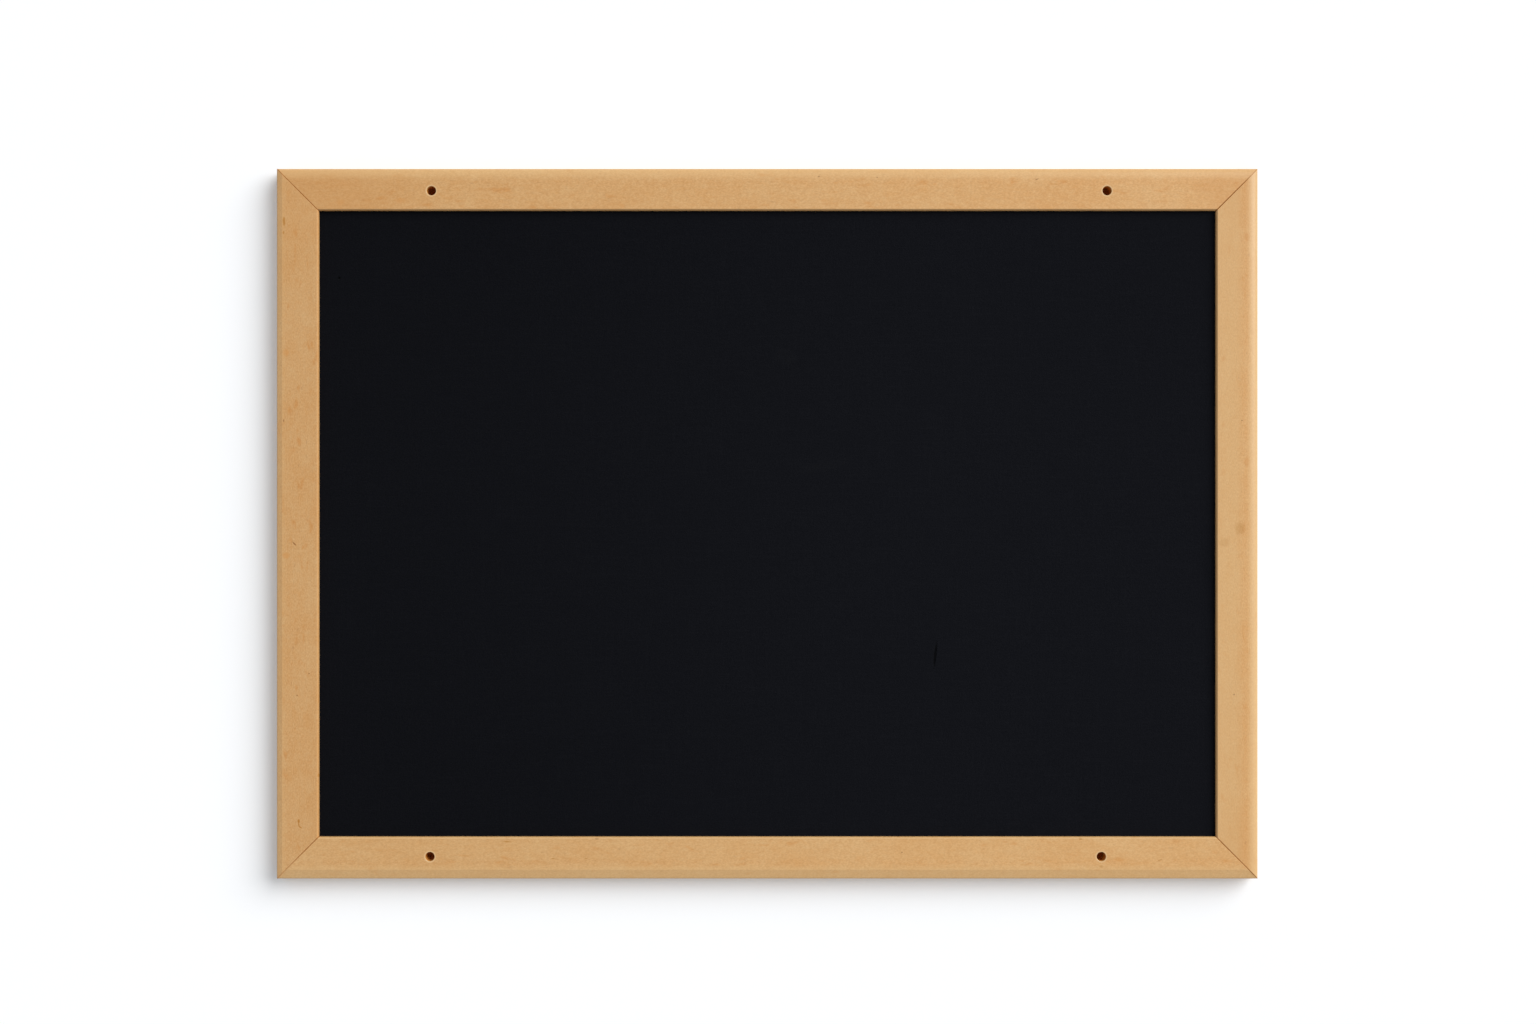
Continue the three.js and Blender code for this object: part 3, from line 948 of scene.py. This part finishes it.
# The wedge nails: bent strips of plain steel driven from behind across each mitre, two to a
# corner, a little below the wood. Only their back edges show.
nail_corner = 0.45 * mm
nail_rim = 0.06 * mm
nail_steel = steel_finish("nail_steel", (0.50, 0.50, 0.51), (1, 0.1, 1), 0.42)
nail_line = (  # a nail's outline: how far out from its bend, across and up
    (0, 0), (-nail_leg, 0), (-nail_leg, -nail_thickness), (-nail_thickness, -nail_thickness),
    (-nail_thickness, -nail_leg), (0, -nail_leg),
)
for node in sorted(frame["nodes"]):
    if not node.startswith("v_nail"):
        continue
    low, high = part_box(node)
    corner, number = node[len("v_nail_"):-2], int(node[-1])
    way, bend = outwards(corner), nail_bend(corner, number)
    line = [(bend.x + way.x * out, bend.z + way.z * up) for out, up in nail_line]
    strip = slab(line, low.y, high.y)
    bends = []
    for edge in strip.edges:
        first, second = [v.co for v in edge.verts]
        along_depth = abs(first.y - second.y) > nail_thickness
        near = max(abs(first.x - bend.x), abs(first.z - bend.z)) < nail_thickness * 1.5
        if along_depth and near:
            bends.append(edge)
    bmesh.ops.bevel(strip, geom=bends, offset=nail_corner, offset_type="OFFSET", segments=4,
                    affect="EDGES", profile=0.5, material=-1)
    rims = [e for e in strip.edges if all(v.co.y > high.y - hair for v in e.verts)]
    bmesh.ops.bevel(strip, geom=rims, offset=nail_rim, offset_type="OFFSET", segments=2,
                    affect="EDGES", profile=0.5, material=-1)
    nail = object_of(strip, node.replace("v_nail", "wedge_nail"))
    smooth(nail, 30)
    nail.data.materials.append(nail_steel)
    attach(nail, "root")
    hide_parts(node)


# The white wall that the board hangs on. It is cut away behind the board, apart from a disc
# behind each screw hole, and it isn't seen from behind. The disc is painted shade: its brown,
# like a wall plug's end, stands in for the dark deep in the hole. The drill just opened the
# rebate, so a strip of the same painted shade closes the view past the disc there.
wall_reach = 3.0
wall_gap = 0.05 * mm
wall_under = arris + wall_gap  # how far it runs in under the board's edges
wall_white = (0.93, 0.93, 0.93)
wall_glow = 0.09  # lifts the white that is seen, but lights nothing
hole_end_spare = 0.1 * mm
hole_end_shade_pale = (0.85, 0.31, 0.035)
hole_end_shade_deep = (0.72, 0.24, 0.025)
hole_end_most = (10 * mm) ** 2  # the discs and strips are smaller than this, the wall's faces aren't
strip_width = 12 * mm
strip_height = 2 * mm

wall_mesh = bmesh.new()
half_width, half_height = cad_high.x - wall_under, cad_high.z - wall_under
bmesh.ops.create_grid(wall_mesh, x_segments=3, y_segments=3, size=wall_reach, matrix=flat_on)
for vertex in wall_mesh.verts:
    vertex.co.y = wall_gap
    if abs(vertex.co.x) < wall_reach / 2:
        vertex.co.x = math.copysign(half_width, vertex.co.x)
    if abs(vertex.co.z) < wall_reach / 2:
        vertex.co.z = math.copysign(half_height, vertex.co.z)
middle = [f for f in wall_mesh.faces if f.calc_center_median().length < wall_gap * 2]
bmesh.ops.delete(wall_mesh, geom=middle, context="FACES_ONLY")
for centre in holes:
    place = Matrix.Translation((centre.x, wall_gap, centre.z)) @ flat_on
    bmesh.ops.create_circle(wall_mesh, cap_ends=True, segments=hole_sides,
                            radius=hole_radius + hole_end_spare, matrix=place)
    inwards = -math.copysign(hole_radius + strip_height / 4, centre.z)
    place = Matrix.Translation((centre.x, wall_gap * 2, centre.z + inwards)) @ flat_on
    place = place @ Matrix.Diagonal((strip_width, strip_height, 1, 1))
    bmesh.ops.create_grid(wall_mesh, x_segments=1, y_segments=1, size=0.5, matrix=place)
wall_mesh.normal_update()
for face in wall_mesh.faces:
    if face.normal.y > 0:
        face.normal_flip()
    face.material_index = 1 if face.calc_area() < hole_end_most else 0
wall = bpy.data.objects.new("wall", bpy.data.meshes.new("wall"))
wall_mesh.to_mesh(wall.data)
bpy.context.scene.collection.objects.link(wall)

paint = Finish("wall_paint")
paint.give({
    "Base Color": wall_white, "Roughness": 0.9, "Specular IOR Level": 0.3,
    "Emission Color": paint.looked_at(), "Emission Strength": wall_glow,
})
# painted shade: the brown of the discs and strips that stand in for the dark deep in the screw
# holes
hole_end_shade = Finish("hole_end_shade_paint")
hole_end_mottle = hole_end_shade.cloud(hole_end_shade.place(), 0.8 * mm, 2.0)
hole_end_shade.give({
    "Base Color": hole_end_shade.mix(hole_end_mottle, hole_end_shade_pale, hole_end_shade_deep),
    "Roughness": 1.0, "Specular IOR Level": 0.0,
})
for finish in (paint, hole_end_shade):
    clear = finish.add("ShaderNodeBsdfTransparent", {}, {})
    behind = finish.add("ShaderNodeNewGeometry", {}, {}, "Backfacing")
    front = Reading(finish, finish.shader.outputs[0])
    both = finish.add("ShaderNodeMixShader", {}, {0: behind, 1: front, 2: clear})
    finish.links.new(both.socket, finish.nodes["Material Output"].inputs["Surface"])
    wall.data.materials.append(finish.material)
